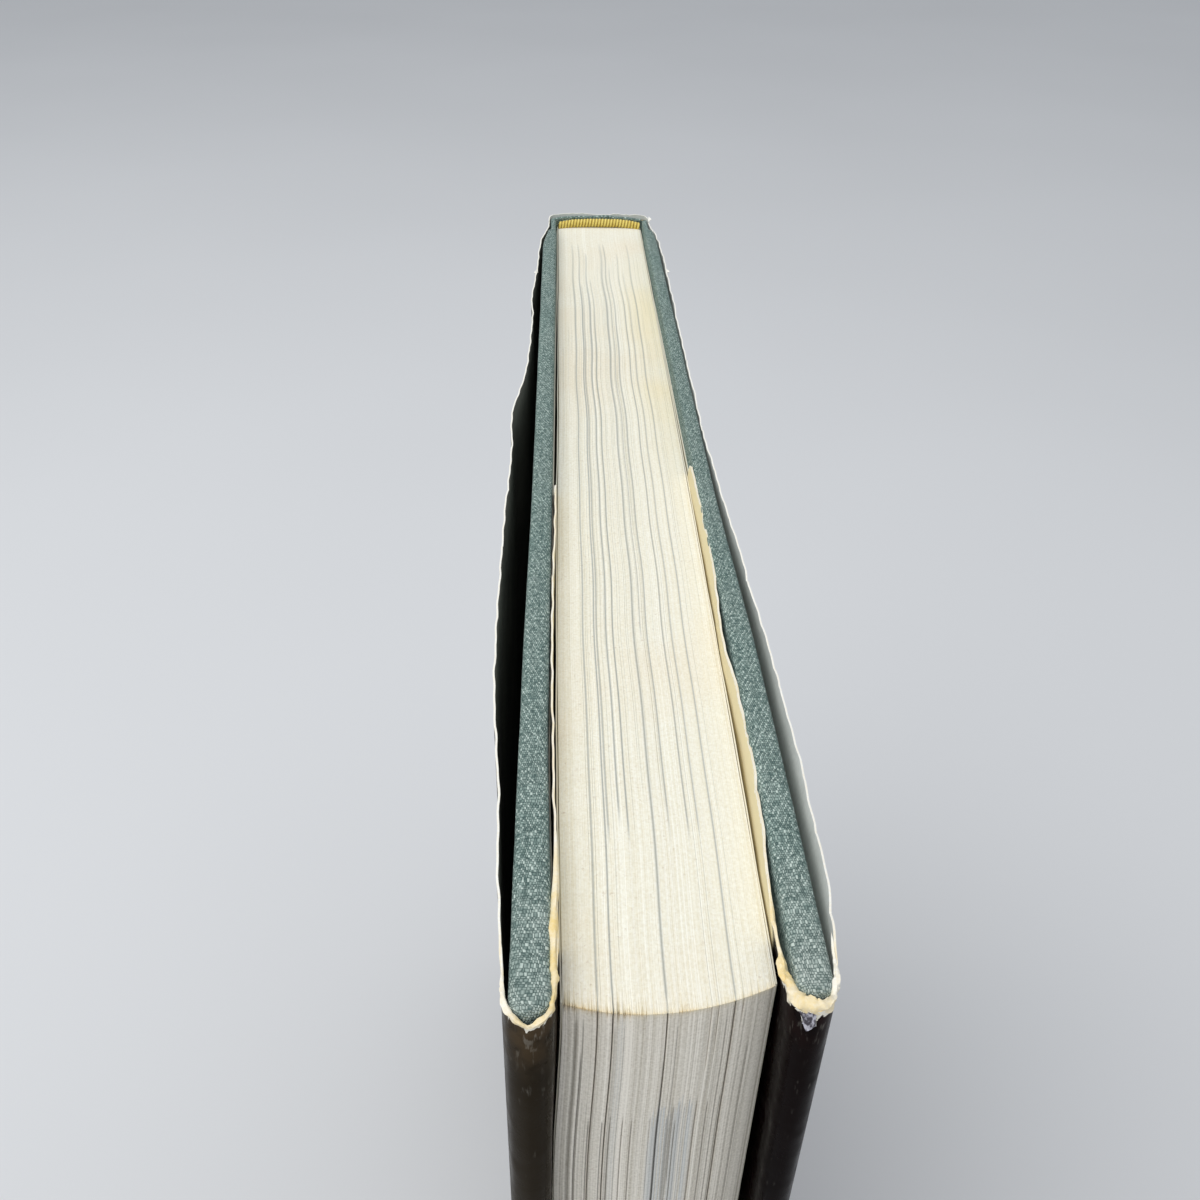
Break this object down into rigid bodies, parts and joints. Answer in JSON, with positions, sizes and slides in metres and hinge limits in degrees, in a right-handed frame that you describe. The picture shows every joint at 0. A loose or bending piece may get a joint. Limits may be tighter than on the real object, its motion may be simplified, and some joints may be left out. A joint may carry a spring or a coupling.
{
  "type": "hardcover book",
  "caption": "Case-bound book standing on its tail: cloth-covered boards hinged on a flat cloth spine, cut leaves, headbands and a loose folded paper jacket.",
  "frame": {"origin": "middle of the footprint on the surface that the book stands on", "axes": "+Z from tail to head, +Y out through the spine, +X towards the back cover"},
  "size_m": [0.0308, 0.1946, 0.252],
  "materials": {
    "paper": "matte",
    "endpaper": "matte",
    "band": "woven",
    "lining": "matte",
    "board": "matte",
    "cloth": "woven",
    "jacket": "gloss"
  },
  "bodies": {
    "block": {"text_block": "paper", "headband": "band", "tailband": "band", "spine_lining": "lining", "front_flyleaf": "endpaper", "back_flyleaf": "endpaper", "spine_strip": "board", "spine_cloth": "cloth", "jacket_spine": "jacket"},
    "front_cover": {"front_board": "board", "front_cloth": "cloth", "front_pastedown": "endpaper", "jacket_front": "jacket"},
    "back_cover": {"back_board": "board", "back_cloth": "cloth", "back_pastedown": "endpaper", "jacket_back": "jacket"}
  },
  "joints": [
    {"name": "front_cover_hinge", "type": "hinge", "parent": "block", "child": "front_cover", "pos_m": [-0.01152, 0.09054, 0.126], "axis": [0, 0, -1], "range_deg": [0, 175]},
    {"name": "back_cover_hinge", "type": "hinge", "parent": "block", "child": "back_cover", "pos_m": [0.01268, 0.09054, 0.126], "axis": [0, 0, 1], "range_deg": [0, 175]}
  ]
}
